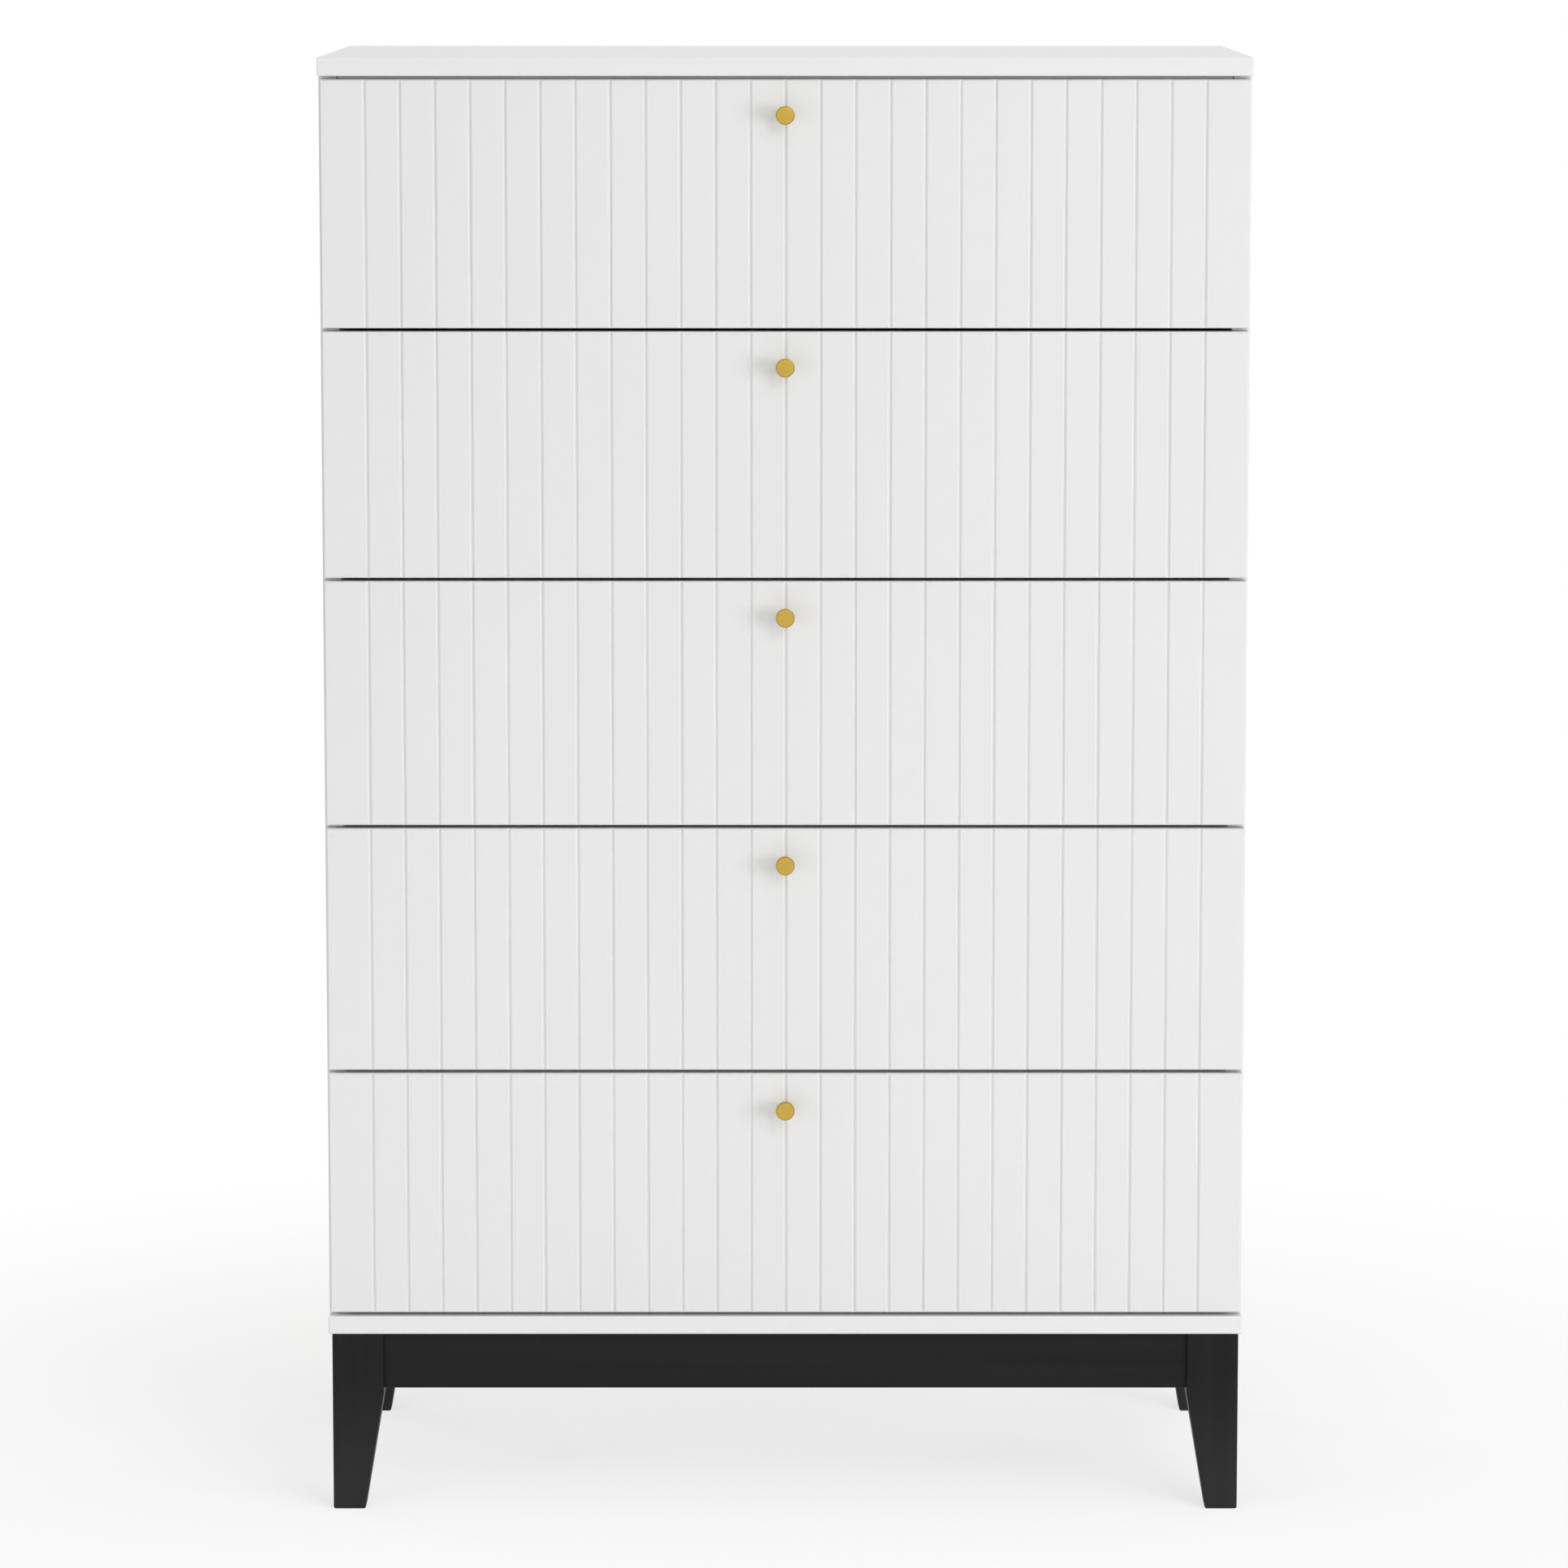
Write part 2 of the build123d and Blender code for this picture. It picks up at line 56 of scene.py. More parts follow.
class Val:
    # one socket of a node tree; arithmetic on it adds Math nodes
    def __init__(self, tree, socket=None):
        self.tree = tree
        self.socket = socket

    def node(self, kind, settings=None, inputs=None, out=0):
        made = self.tree.nodes.new(kind)
        for name, value in (settings or {}).items():
            if name == "stops":
                self.setStops(made.color_ramp, value)
            else:
                setattr(made, name, value)
        for key, value in (inputs or {}).items():
            if isinstance(value, Val):
                self.tree.links.new(value.socket, made.inputs[key])
            else:
                made.inputs[key].default_value = value
        return Val(self.tree, made.outputs[out] if made.outputs else None)

    def setStops(self, ramp, stops):
        while len(ramp.elements) < len(stops):
            ramp.elements.new(1.0)
        for element, (place, grey) in zip(ramp.elements, stops):
            element.position = place
            element.color = (grey, grey, grey, 1)

    def calc(self, operation, *values):
        return self.node("ShaderNodeMath", {"operation": operation}, dict(enumerate(values)))

    def __add__(self, other):
        return self.calc("ADD", self, other)

    def __radd__(self, other):
        return self.calc("ADD", other, self)

    def __sub__(self, other):
        return self.calc("SUBTRACT", self, other)

    def __rsub__(self, other):
        return self.calc("SUBTRACT", other, self)

    def __mul__(self, other):
        return self.calc("MULTIPLY", self, other)

    def __rmul__(self, other):
        return self.calc("MULTIPLY", other, self)

    def __gt__(self, other):
        return self.calc("GREATER_THAN", self, other)

    def __abs__(self):
        return self.calc("ABSOLUTE", self)


def noise(v, place, scale, detail=2.0, rough=0.5):
    inputs = {"Vector": place, "Scale": scale, "Detail": detail, "Roughness": rough}
    return v.node("ShaderNodeTexNoise", {}, inputs)


def lineNoise(v, along, scale, detail):
    inputs = {"W": along * scale, "Scale": 1.0, "Detail": detail}
    return v.node("ShaderNodeTexNoise", {"noise_dimensions": "1D"}, inputs)


def ramp(v, value, *stops):
    return v.node("ShaderNodeValToRGB", {"stops": stops}, {"Fac": value})


def smoothStep(v, value, start, end, low=0.0, high=1.0):
    limits = {"From Min": start, "From Max": end, "To Min": low, "To Max": high}
    return v.node("ShaderNodeMapRange", {"interpolation_type": "SMOOTHSTEP"}, {"Value": value, **limits})


def mixColor(v, share, first, second):
    # a Mix node's colours are its inputs 6 and 7 and its output 2
    return v.node("ShaderNodeMix", {"data_type": "RGBA"}, {0: share, 6: first, 7: second}, out=2)


def blend(first, second, share):
    return first * (1 - share) + second * share


def stretch(v, place, scale):
    return v.node("ShaderNodeMapping", {}, {"Vector": place, "Scale": scale})


def bump(v, height, distance, strength=1.0):
    return v.node("ShaderNodeBump", {}, {"Height": height, "Distance": distance, "Strength": strength})


def axisOf(v, place, axis):
    return v.node("ShaderNodeSeparateXYZ", {}, {0: place}, out=axis)


def newMaterial(name):
    material = bpy.data.materials.new(name)
    material.use_nodes = True
    material.node_tree.nodes.clear()
    return material, Val(material.node_tree)


def newFinish(name, look, build):
    material, v = newMaterial(name)
    place = v.node("ShaderNodeTexCoord", out="Object")
    shader = v.node("ShaderNodeBsdfPrincipled", {}, {**look.get("fixed", {}), **build(v, place, look)})
    v.node("ShaderNodeOutputMaterial", {}, {"Surface": shader})
    return material


# finishes; a noise is its scale, detail and roughness
# scales, and the widths and lengths of grain, are per metre

lacquerLook = {
    "pale": (0.815, 0.815, 0.812, 1), "shade": (0.792, 0.793, 0.795, 1),
    "cloud": (3.0, 3), "haze": (40.0, 4, 0.6), "peel": (620.0, 1), "peelDepth": 0.03 * mm,
    "roughness": 0.36, "roughnessSpread": 0.14,
    "fixed": {"IOR": 1.5, "Specular IOR Level": 0.4},
}


def sprayedWhite(v, place, look):
    cloud = noise(v, place, *look["cloud"])
    haze = noise(v, place, *look["haze"])
    peel = noise(v, place, *look["peel"])
    return {
        "Base Color": mixColor(v, cloud, look["shade"], look["pale"]),
        "Roughness": look["roughness"] + haze * look["roughnessSpread"],
        "Normal": bump(v, peel, look["peelDepth"]),
    }


# painted light: a paler copy of the lacquer for the top and bottom boards, which get less light than the
# fronts
litBoardLook = {**lacquerLook, "pale": (0.838, 0.838, 0.835, 1), "shade": (0.815, 0.816, 0.818, 1)}

foilLook = {
    "pale": (0.785, 0.785, 0.775, 1), "shade": (0.755, 0.756, 0.75, 1),
    "cloud": (6.0, 3), "haze": (90.0, 4, 0.6), "peel": (1500.0, 1), "peelDepth": 0.02 * mm,
    "roughness": 0.5, "roughnessSpread": 0.14,
    "fixed": {"Specular IOR Level": 0.35},
}

enamelLook = {
    "pale": (0.80, 0.80, 0.788, 1), "shade": (0.765, 0.765, 0.755, 1),
    "cloud": (25.0, 3), "haze": (160.0, 4, 0.6), "peel": (1100.0, 1), "peelDepth": 0.02 * mm,
    "roughness": 0.24, "roughnessSpread": 0.14,
    "fixed": {"Coat Weight": 0.2, "Coat Roughness": 0.2},
}

nylonLook = {
    "pale": (0.76, 0.755, 0.72, 1), "shade": (0.70, 0.69, 0.65, 1),
    "cloud": (120.0, 3), "haze": (300.0, 4, 0.6), "peel": (2500.0, 1), "peelDepth": 0.01 * mm,
    "roughness": 0.38, "roughnessSpread": 0.16,
    "fixed": {"IOR": 1.53},
}

paintLook = {
    # the paler black serves both the grain streaks and the painted floor light
    "black": (0.0065, 0.0065, 0.0068, 1), "worn": (0.027, 0.027, 0.0272, 1),
    "poreWidth": 420.0, "poreLength": 9.0, "pore": (1.0, 3, 0.6),
    "poreDepth": 0.05 * mm, "poreBump": 0.6,
    "streakWidth": 90.0, "streakLength": 2.5, "streak": (1.0, 2), "streakShare": 0.3,
    "scuffHeight": 0.13, "scuffShare": 0.7,  # painted light from the floor: paler towards the floor
    "roughness": 0.40, "roughnessSpread": 0.18,
    "fixed": {"Specular IOR Level": 0.17},
}


def blackPaint(axis):
    # grain runs along one axis of the piece
    def build(v, place, look):
        def grain(width, length, *texture):
            scale = [width] * 3
            scale[axis] = length
            return noise(v, stretch(v, place, scale), *texture)
        pores = grain(look["poreWidth"], look["poreLength"], *look["pore"])
        streaks = grain(look["streakWidth"], look["streakLength"], *look["streak"])
        # painted light: the paint is paler towards the floor, where floor bounce would light it
        paintedFloorLight = smoothStep(v, axisOf(v, place, 2), 0.0, look["scuffHeight"], 1.0, 0.0)
        # streaks are tone in the paint; the height term is painted floor light
        wearAndFloorLight = streaks * look["streakShare"] + paintedFloorLight * look["scuffShare"]
        return {
            "Base Color": mixColor(v, wearAndFloorLight, look["black"], look["worn"]),
            "Roughness": look["roughness"] + pores * look["roughnessSpread"],
            "Normal": bump(v, pores, look["poreDepth"], look["poreBump"]),
        }
    return newFinish("blackPaint" + "XYZ"[axis], paintLook, build)


hardboardLook = {
    "brown": (0.47, 0.335, 0.21, 1), "tan": (0.60, 0.46, 0.32, 1), "fleckBrown": (0.27, 0.17, 0.095, 1),
    "white": (0.79, 0.79, 0.78, 1), "whiteShade": (0.765, 0.765, 0.755, 1),
    "cloud": (14.0, 4), "fibre": (420.0, 4, 0.65), "fibreShare": 0.5,
    "fleck": (260.0, 2), "fleckStops": ((0.60, 0.0), (0.70, 0.55)),
    "fibreDepth": 0.06 * mm, "fibreBump": 0.6, "paintedRelief": 0.3,
    "roughness": 0.52, "roughnessSpread": 0.25,
    "fixed": {"Specular IOR Level": 0.25},
}


def hardboard(name, axis, level, sign):
    # painted white on one side, bare on the side where sign * place is above sign * level
    def build(v, place, look):
        bare = sign * axisOf(v, place, axis) > sign * level
        cloud = noise(v, place, *look["cloud"])
        fibre = noise(v, place, *look["fibre"])
        flecks = ramp(v, noise(v, place, *look["fleck"]), *look["fleckStops"])
        brown = mixColor(v, blend(cloud, fibre, look["fibreShare"]), look["brown"], look["tan"])
        brown = mixColor(v, flecks, brown, look["fleckBrown"])
        white = mixColor(v, cloud, look["whiteShade"], look["white"])
        relief = look["paintedRelief"] + bare * (1 - look["paintedRelief"])
        return {
            "Base Color": mixColor(v, bare, white, brown),
            "Roughness": look["roughness"] + fibre * look["roughnessSpread"],
            "Normal": bump(v, fibre * relief, look["fibreDepth"], look["fibreBump"]),
        }
    return newFinish(name, hardboardLook, build)


woodLook = {
    "late": (0.44, 0.29, 0.155, 1), "early": (0.66, 0.49, 0.31, 1),
    "grainWidth": 170.0, "grainLength": 7.0, "ringWidth": 26.0, "ringLength": 1.6,
    "grain": (1.0, 4, 0.6), "ringStops": ((0.35, 0.0), (0.65, 1.0)), "ringShare": 0.5,
    "sawDepth": 0.12 * mm, "sawBump": 0.7, "roughness": 0.6, "roughnessSpread": 0.25,
    "fixed": {"Specular IOR Level": 0.25},
}


def bareWood(v, place, look):
    # each block's grain runs square to its corner's diagonal
    x, y, z = [axisOf(v, place, axis) for axis in range(3)]
    along = abs(x) - abs(y)
    across = abs(x) + abs(y)

    def grain(width, length):
        spot = {0: along * length, 1: across * width, 2: z * width}
        return noise(v, v.node("ShaderNodeCombineXYZ", {}, spot), *look["grain"])
    fine = grain(look["grainWidth"], look["grainLength"])
    rings = ramp(v, grain(look["ringWidth"], look["ringLength"]), *look["ringStops"])
    return {
        "Base Color": mixColor(v, blend(fine, rings, look["ringShare"]), look["late"], look["early"]),
        "Roughness": look["roughness"] + fine * look["roughnessSpread"],
        "Normal": bump(v, fine, look["sawDepth"], look["sawBump"]),
    }


brassLook = {
    "pale": (0.64, 0.44, 0.095, 1), "deep": (0.55, 0.365, 0.065, 1), "edge": (0.38, 0.235, 0.042, 1),
    "rimStart": (-13.1 * mm, -12.2 * mm), "rimEnd": (-11.1 * mm, -10.0 * mm),  # radius less depth, where the rim's painted shade starts and ends
    "ring": (5200.0, 2.0), "band": (900.0, 1.0), "cloud": (130.0, 2), "cloudShare": 0.5,
    "ringDepth": 0.008 * mm, "ringBump": 0.5, "roughness": 0.24, "roughnessSpread": 0.18,
    "fixed": {"Metallic": 1.0},
}


def satinBrass(v, place, look):
    # turned finish: fine rings that follow the knob's radius less its depth; the rounded rim is painted
    # darker, a painted shade
    turned = v.node("ShaderNodeAttribute", {"attribute_name": "turning"}, out="Fac")
    rings = lineNoise(v, turned, *look["ring"])
    bands = lineNoise(v, turned, *look["band"])
    cloud = noise(v, place, *look["cloud"])
    # painted shade: the rounded rim is coloured darker than the face
    rim = smoothStep(v, turned, *look["rimStart"]) - smoothStep(v, turned, *look["rimEnd"])
    face = mixColor(v, blend(bands, cloud, look["cloudShare"]), look["deep"], look["pale"])
    return {
        "Base Color": mixColor(v, rim, face, look["edge"]),
        "Roughness": look["roughness"] + rings * look["roughnessSpread"],
        "Normal": bump(v, rings, look["ringDepth"], look["ringBump"]),
    }


zincLook = {
    "pale": (0.66, 0.67, 0.68, 1), "deep": (0.50, 0.51, 0.52, 1),
    "spangleScale": 700.0, "haze": (240.0, 3), "hazeShare": 0.4,
    "hazeDepth": 0.01 * mm, "hazeBump": 0.5, "roughness": 0.26, "roughnessSpread": 0.22,
    "fixed": {"Metallic": 1.0},
}


def zincPlate(v, place, look):
    spangle = v.node("ShaderNodeTexVoronoi", {}, {"Vector": place, "Scale": look["spangleScale"]})
    haze = noise(v, place, *look["haze"])
    return {
        "Base Color": mixColor(v, blend(spangle, haze, look["hazeShare"]), look["pale"], look["deep"]),
        "Roughness": look["roughness"] + haze * look["roughnessSpread"],
        "Normal": bump(v, haze, look["hazeDepth"], look["hazeBump"]),
    }


lacquer = newFinish("whiteLacquer", lacquerLook, sprayedWhite)
# the paler copy of the lacquer is painted light on the boards
litBoardLacquer = newFinish("litBoardLacquer", litBoardLook, sprayedWhite)
foil = newFinish("boxFoil", foilLook, sprayedWhite)
enamel = newFinish("runnerEnamel", enamelLook, sprayedWhite)
nylon = newFinish("rollerNylon", nylonLook, sprayedWhite)
wood = newFinish("bareWood", woodLook, bareWood)
brass = newFinish("satinBrass", brassLook, satinBrass)
zinc = newFinish("zincPlate", zincLook, zincPlate)
slotFinish = {
    "white_lacquer": lacquer, "box_board": foil, "runner_enamel": enamel, "nylon": nylon,
    "plain_wood": wood, "satin_brass": brass, "zinc_steel": zinc,
}
paintByAxis = [blackPaint(axis) for axis in range(3)]
grainAxis = {"front_and_rear_aprons": 0, "side_aprons": 1}  # the legs' grain runs up


def middle(node, axis):
    low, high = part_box(node)
    return (low[axis] + high[axis]) / 2


def finishOf(node, slot):
    # the top and bottom boards take the paler lacquer, painted light
    if node in ("top_panel", "bottom_panel"):
        return litBoardLacquer
    if slot == "hardboard" and node == "back_panel":
        return hardboard("backBoard", axis=1, level=middle(node, 1), sign=1)
    if slot == "hardboard":
        return hardboard(node + "_board", axis=2, level=middle(node, 2), sign=-1)
    if slot == "black_paint":
        return paintByAxis[grainAxis.get(node, 2)]
    return slotFinish[slot]


for subpart in frame["record"]["subparts"]:
    piece = nodes[subpart["node"]]
    piece.data.materials.clear()
    piece.data.materials.append(finishOf(subpart["node"], subpart["material_slot"]))


# softened edges on the grooved fronts

edgeLook = {"weld": 0.005 * mm, "flatAngle": 0.5, "round": 0.3 * mm, "steps": 2, "sharpAngle": 25.0}


def softenEdges(obj, look):
    weld = obj.modifiers.new("weld", "WELD")
    weld.merge_threshold = look["weld"]
    flats = obj.modifiers.new("flats", "DECIMATE")
    flats.decimate_type = "DISSOLVE"
    flats.angle_limit = math.radians(look["flatAngle"])
    rounding = obj.modifiers.new("rounding", "BEVEL")
    rounding.width = look["round"]
    rounding.segments = look["steps"]
    rounding.limit_method = "ANGLE"
    rounding.angle_limit = math.radians(look["sharpAngle"])


for drawer in drawers:
    softenEdges(nodes[drawer + "_front"], edgeLook)
print("edges softened on", len(drawers), "fronts")


# small turned and pressed pieces

def addPiece(name, bm, body, materials, smoothAngle=35.0):
    mesh = bpy.data.meshes.new(name)
    bmesh.ops.recalc_face_normals(bm, faces=bm.faces)
    bm.to_mesh(mesh)
    bm.free()
    for material in materials:
        mesh.materials.append(material)
    mesh.shade_smooth()
    mesh.set_sharp_from_angle(angle=math.radians(smoothAngle))
    piece = bpy.data.objects.new(name, mesh)
    bpy.context.scene.collection.objects.link(piece)
    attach(piece, body)
    return piece


def facing(place, direction):
    # turns +Z to the direction and moves to the place
    turn = Vector(direction).to_track_quat("Z", "Y").to_matrix().to_4x4()
    return Matrix.Translation(place) @ turn


def unique(items):
    # each item once, in the order met
    return list(dict.fromkeys(items))


headLook = {
    "cells": 5, "cellShare": 0.24, "recessShare": 0.8,
    "sides": 20, "turn": 45.0, "rimShare": 0.35, "rimSteps": 2,
}


def crossHead(bm, place, direction, radius, height, material=0):
    # round screw head with a cross recess, its underside at place
    look = headLook
    cells = look["cells"]
    half = cells // 2
    cell = radius * look["cellShare"]
    grid = bmesh.ops.create_grid(bm, x_segments=cells, y_segments=cells, size=cells * cell / 2)
    flat = unique(face for vert in grid["verts"] for face in vert.link_faces)
    rim = [e for e in unique(e for face in flat for e in face.edges) if len(e.link_faces) == 1]
    ring = bmesh.ops.create_circle(bm, cap_ends=False, segments=look["sides"], radius=radius)["verts"]
    drop = Matrix.Translation((0, 0, -radius))  # bridged from below, since level loops would twist
    turn = Matrix.Rotation(math.radians(look["turn"]), 4, "Z")
    bmesh.ops.transform(bm, matrix=drop @ turn, verts=ring)
    ringEdges = unique(e for vert in ring for e in vert.link_edges)
    bmesh.ops.bridge_loops(bm, edges=rim + ringEdges)
    bmesh.ops.transform(bm, matrix=drop.inverted(), verts=ring)
    arms = []
    for face in flat:
        spot = face.calc_center_median() / cell
        column, row = round(spot.x), round(spot.y)
        if min(abs(column), abs(row)) == 0 and max(abs(column), abs(row)) < half:
            arms.append(face)
    recess = bmesh.ops.extrude_face_region(bm, geom=arms)["geom"]
    sunk = [g for g in recess if isinstance(g, bmesh.types.BMVert)]
    bmesh.ops.delete(bm, geom=arms, context="FACES_ONLY")
    bmesh.ops.translate(bm, verts=sunk, vec=(0, 0, -height * look["recessShare"]))
    skirt = bmesh.ops.extrude_edge_only(bm, edges=ringEdges)["geom"]
    lower = [g for g in skirt if isinstance(g, bmesh.types.BMVert)]
    bmesh.ops.translate(bm, verts=lower, vec=(0, 0, -height))
    seat = [g for g in skirt if isinstance(g, bmesh.types.BMEdge) and len(g.link_faces) == 1]
    bmesh.ops.holes_fill(bm, edges=seat, sides=look["sides"])
    rounded = bmesh.ops.bevel(bm, geom=ringEdges, offset=height * look["rimShare"], offset_type="OFFSET",
                              affect="EDGES", segments=look["rimSteps"], profile=0.5, material=-1)
    made = unique([*grid["verts"], *sunk, *lower, *rounded["verts"]])
    made = [vert for vert in made if vert.is_valid]
    for face in unique(face for vert in made for face in vert.link_faces):
        face.material_index = material
    move = facing(place, direction) @ Matrix.Translation((0, 0, height))
    bmesh.ops.transform(bm, matrix=move, verts=made)


# knobs, turned on their own axis

knobLook = {
    "steps": 72, "waist": 4.25 * mm, "flareStart": 9 * mm, "headStart": 13 * mm,
    "head": 8 * mm, "length": 20 * mm, "rim": 0.9 * mm, "waistRound": 1.2 * mm,
    "rimSteps": 5, "shoulderSteps": 3, "waistSteps": 4,
    "weld": 0.001 * mm, "tolerance": 0.01 * mm,
    "screwHead": 4.5 * mm, "screwHeight": 2.2 * mm,
}


def makeKnob(drawer, look):
    node = drawer + "_knob"
    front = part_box(node)[0].y
    centre = Vector((middle(node, 0), front + look["length"], middle(node, 2)))
    bm = bmesh.new()
    profile = [(0, 0), (look["waist"], 0), (look["waist"], look["flareStart"]),
               (look["head"], look["headStart"]), (look["head"], look["length"]), (0, look["length"])]
    verts = [bm.verts.new((radius, 0, depth)) for radius, depth in profile]
    edges = [bm.edges.new(pair) for pair in zip(verts, verts[1:])]
    bmesh.ops.spin(bm, geom=verts + edges, cent=(0, 0, 0), axis=(0, 0, 1), angle=math.tau,
                   steps=look["steps"], use_merge=True)
    bmesh.ops.remove_doubles(bm, verts=bm.verts, dist=look["weld"])

    def ringAt(radius, depth):
        def onRing(vert):
            off = abs(math.hypot(vert.co.x, vert.co.y) - radius) + abs(vert.co.z - depth)
            return off < look["tolerance"]
        return [e for e in bm.edges if all(onRing(vert) for vert in e.verts)]
    for radius, depth, offset, segments in (
            (look["head"], look["length"], look["rim"], look["rimSteps"]),
            (look["head"], look["headStart"], look["rim"] / 2, look["shoulderSteps"]),
            (look["waist"], look["flareStart"], look["waistRound"], look["waistSteps"])):
        bmesh.ops.bevel(bm, geom=ringAt(radius, depth), offset=offset, offset_type="OFFSET",
                        affect="EDGES", segments=segments, profile=0.5, material=-1)
    turning = bm.verts.layers.float.new("turning")  # read by the brass
    for vert in bm.verts:
        vert[turning] = math.hypot(vert.co.x, vert.co.y) - vert.co.z
    bmesh.ops.transform(bm, matrix=facing(centre, (0, -1, 0)), verts=bm.verts)
    inside = Vector((centre.x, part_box(drawer + "_front")[1].y, centre.z))
    crossHead(bm, inside, (0, 1, 0), look["screwHead"], look["screwHeight"], material=1)
    piece = addPiece(node + "_turned", bm, drawer, [brass, zinc])
    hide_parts(node)


for drawer in drawers:
    makeKnob(drawer, knobLook)
print("knobs turned:", len(drawers))


# screws and cam locks

fixingLook = {
    "screw": 2.8 * mm, "screwHeight": 1.2 * mm, "sheet": 1.0 * mm,
    "channelRise": 6.2 * mm,  # above the front axle
    "channelPlaces": (36 * mm, 175 * mm, 330 * mm),  # behind the channel's front end
    "underPlaces": (60 * mm, 290 * mm), "underInset": 6 * mm,
    "cam": 7.5 * mm, "camHeight": 0.8 * mm, "camBehind": 33 * mm, "camRises": (45 * mm, 112 * mm),
    "backScrew": 3.6 * mm, "backHeight": 0.6 * mm, "backRises": (45 * mm, 112 * mm), "backInset": 6 * mm,
    "blockReach": 79.35 * mm, "blockSpread": 32 * mm, "blockScrew": 4.0 * mm, "blockHeight": 2.0 * mm,
    "railPlaces": (-250 * mm, 0, 250 * mm), "railInset": 30 * mm,
}


def caseScrews(look):
    bm = bmesh.new()
    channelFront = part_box("cabinet_runners")[0].y
    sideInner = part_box("right_side_panel")[0].x
    for drawer in drawers:
        height = middle(drawer + "_cabinet_rollers", 2) + look["channelRise"]
        for hand in (-1, 1):
            for along in look["channelPlaces"]:
                spot = (hand * (sideInner - look["sheet"]), channelFront + along, height)
                crossHead(bm, spot, (-hand, 0, 0), look["screw"], look["screwHeight"])
    low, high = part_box("top_rails")
    for y in (low.y + look["railInset"], high.y - look["railInset"]):
        for x in look["railPlaces"]:
            crossHead(bm, (x, y, low.z), (0, 0, -1), look["blockScrew"], look["blockHeight"])
    low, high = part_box("corner_blocks")
    for hand, cornerX in ((-1, low.x), (1, high.x)):
        for side, cornerY in ((-1, low.y), (1, high.y)):
            for spread in (-look["blockSpread"], look["blockSpread"]):
                step = spread / math.sqrt(2)
                spot = (cornerX - hand * (look["blockReach"] / 2 + step),
                        cornerY - side * (look["blockReach"] / 2 - step), (low.z + high.z) / 2)
                crossHead(bm, spot, (-hand, -side, 0), look["blockScrew"], look["blockHeight"])
    addPiece("case_screws", bm, "case", [zinc])


def drawerFixings(drawer, look):
    bm = bmesh.new()
    low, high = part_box(drawer + "_left_side")
    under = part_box(drawer + "_runners")[0].z
    for hand in (-1, 1):
        outer = hand * -low.x
        inner = hand * -high.x
        for along in look["underPlaces"]:
            spot = (outer - hand * look["underInset"], low.y + along, under)
            crossHead(bm, spot, (0, 0, -1), look["screw"], look["screwHeight"])
        for rise in look["camRises"]:
            spot = (inner, low.y + look["camBehind"], low.z + rise)
            crossHead(bm, spot, (-hand, 0, 0), look["cam"], look["camHeight"])
        for rise in look["backRises"]:
            spot = (outer, high.y - look["backInset"], low.z + rise)
            crossHead(bm, spot, (hand, 0, 0), look["backScrew"], look["backHeight"])
    addPiece(drawer + "_fixings", bm, drawer, [zinc])


caseScrews(fixingLook)
for drawer in drawers:
    drawerFixings(drawer, fixingLook)
print("screws and cam locks fitted")


# floor, light and camera

pureWhite = {"Color": (1, 1, 1, 1), "Strength": 1.0}


def seenDirectly(v):
    rays = [v.node("ShaderNodeLightPath", {}, {}, out=ray)
            for ray in ("Is Camera Ray", "Is Glossy Ray", "Is Transmission Ray")]
    return v.calc("MAXIMUM", v.calc("MAXIMUM", rays[0], rays[1]), rays[2])


floorLook = {
    "half": 60.0, "cells": 4, "pale": (0.91, 0.91, 0.91, 1), "shade": (0.89, 0.89, 0.892, 1),
    "cloud": (0.8, 3), "roughness": 0.9,
    "nearShare": 0.7, "nearRadius": 0.45, "farRadius": 1.5,  # plain white shows more away from the chest
}


def makeFloor(look):
    bm = bmesh.new()
    bmesh.ops.create_grid(bm, x_segments=look["cells"], y_segments=look["cells"], size=look["half"])
    mesh = bpy.data.meshes.new("floor")
    bm.to_mesh(mesh)
    bm.free()
    floor = bpy.data.objects.new("floor", mesh)
    bpy.context.scene.collection.objects.link(floor)
    material, v = newMaterial("paleFloor")
    place = v.node("ShaderNodeTexCoord", out="Object")
    color = mixColor(v, noise(v, place, *look["cloud"]), look["shade"], look["pale"])
    matt = v.node("ShaderNodeBsdfDiffuse", {}, {"Color": color, "Roughness": look["roughness"]})
    white = v.node("ShaderNodeEmission", {}, pureWhite)
    reach = v.node("ShaderNodeVectorMath", {"operation": "LENGTH"}, {0: place}, out="Value")
    fade = smoothStep(v, reach, look["nearRadius"], look["farRadius"], look["nearShare"])
    mixed = v.node("ShaderNodeMixShader", {}, {0: fade * seenDirectly(v), 1: matt, 2: white})
    v.node("ShaderNodeOutputMaterial", {}, {"Surface": mixed})
    mesh.materials.append(material)


skyLook = {"light": (1.0, 1.0, 1.0, 1), "strength": 0.435}


def makeSky(look):
    world = bpy.data.worlds.new("studio")
    bpy.context.scene.world = world
    world.use_nodes = True
    world.node_tree.nodes.clear()
    v = Val(world.node_tree)
    soft = v.node("ShaderNodeBackground", {}, {"Color": look["light"], "Strength": look["strength"]})
    white = v.node("ShaderNodeBackground", {}, pureWhite)
    mixed = v.node("ShaderNodeMixShader", {}, {0: seenDirectly(v), 1: soft, 2: white})
    v.node("ShaderNodeOutputWorld", {}, {"Surface": mixed})


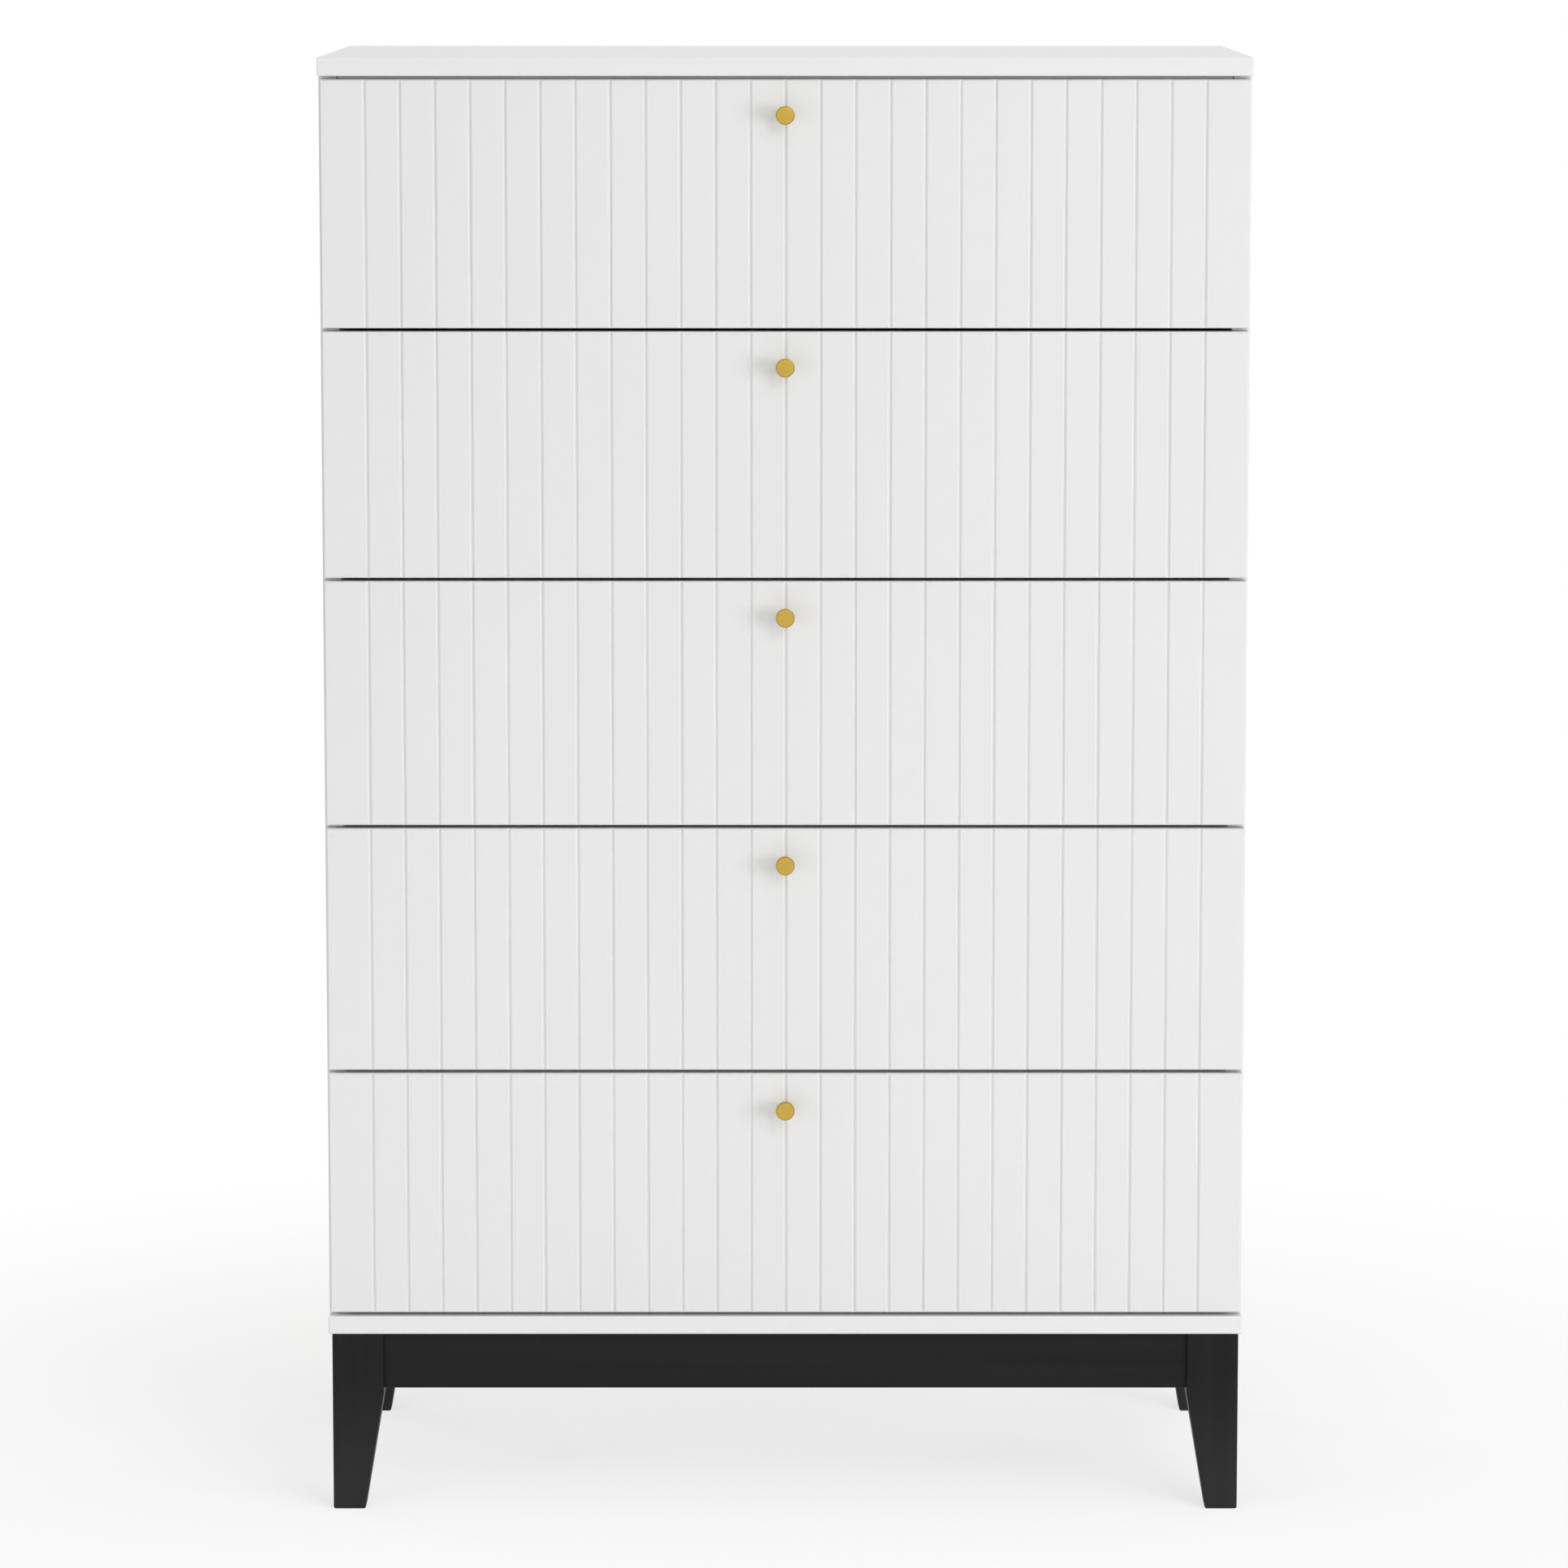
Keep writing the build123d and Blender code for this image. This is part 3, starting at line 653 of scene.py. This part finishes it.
lampLook = {
    "key": {"at": (2.0, -4.05, 3.25), "size": (1.9, 1.9), "watts": 46.0, "inGloss": True},
    "side": {"at": (4.2, -3.6, 0.5), "size": (3.0, 2.6), "watts": 135.0, "inGloss": False},
    "front": {"at": (-1.0, -3.1, 0.55), "size": (2.6, 0.6), "watts": 5.0, "inGloss": False},
    "floorStrip": {"at": (0.0, -0.8, 0.12), "size": (1.6, 0.1), "watts": 0.42, "inGloss": False},
    "overhead": {"at": (0.2, -0.3, 3.2), "size": (1.6, 1.0), "watts": 9.0, "inGloss": False},
    "left": {"at": (-2.8, -2.6, 0.9), "size": (0.6, 0.8), "watts": 7.0, "inGloss": False},
    "rearLeft": {"at": (-3.6, 3.2, 2.0), "size": (1.8, 1.8), "watts": 82.0, "inGloss": False},
    "rearRight": {"at": (3.2, 3.6, 2.4), "size": (1.8, 1.8), "watts": 50.0, "inGloss": False},
}
aim = Vector((0, 0, 0.6))  # the middle of the chest, near enough


def makeLamp(name, look):
    data = bpy.data.lights.new(name, "AREA")
    data.shape = "RECTANGLE"
    data.size, data.size_y = look["size"]
    data.energy = look["watts"]
    lamp = bpy.data.objects.new(name, data)
    lamp.location = look["at"]
    lamp.rotation_euler = (aim - lamp.location).to_track_quat("-Z", "Y").to_euler()
    lamp.visible_camera = False
    lamp.visible_glossy = look["inGloss"]
    bpy.context.scene.collection.objects.link(lamp)


cameraLook = {
    "distance": 5.5, "height": 1.412, "pitch": 7.39, "focalPixels": 7903.0, "farClip": 500.0,
    "frameWidth": 1932.0, "sensor": 36.0, "shiftX": -0.0008, "shiftY": -0.04,
}


def makeCamera(look):
    data = bpy.data.cameras.new("camera")
    data.sensor_width = look["sensor"]
    data.lens = look["focalPixels"] / look["frameWidth"] * look["sensor"]
    data.shift_x = look["shiftX"]
    data.shift_y = look["shiftY"]
    data.clip_end = look["farClip"]
    camera = bpy.data.objects.new("camera", data)
    camera.location = (0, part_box("top_panel")[0].y - look["distance"], look["height"])
    camera.rotation_euler = (math.radians(90 - look["pitch"]), 0, 0)
    bpy.context.scene.collection.objects.link(camera)
    bpy.context.scene.camera = camera


makeFloor(floorLook)
makeSky(skyLook)
for name, look in lampLook.items():
    makeLamp(name, look)
makeCamera(cameraLook)
bpy.context.scene.view_settings.view_transform = "Standard"
print("floor, light and camera set")
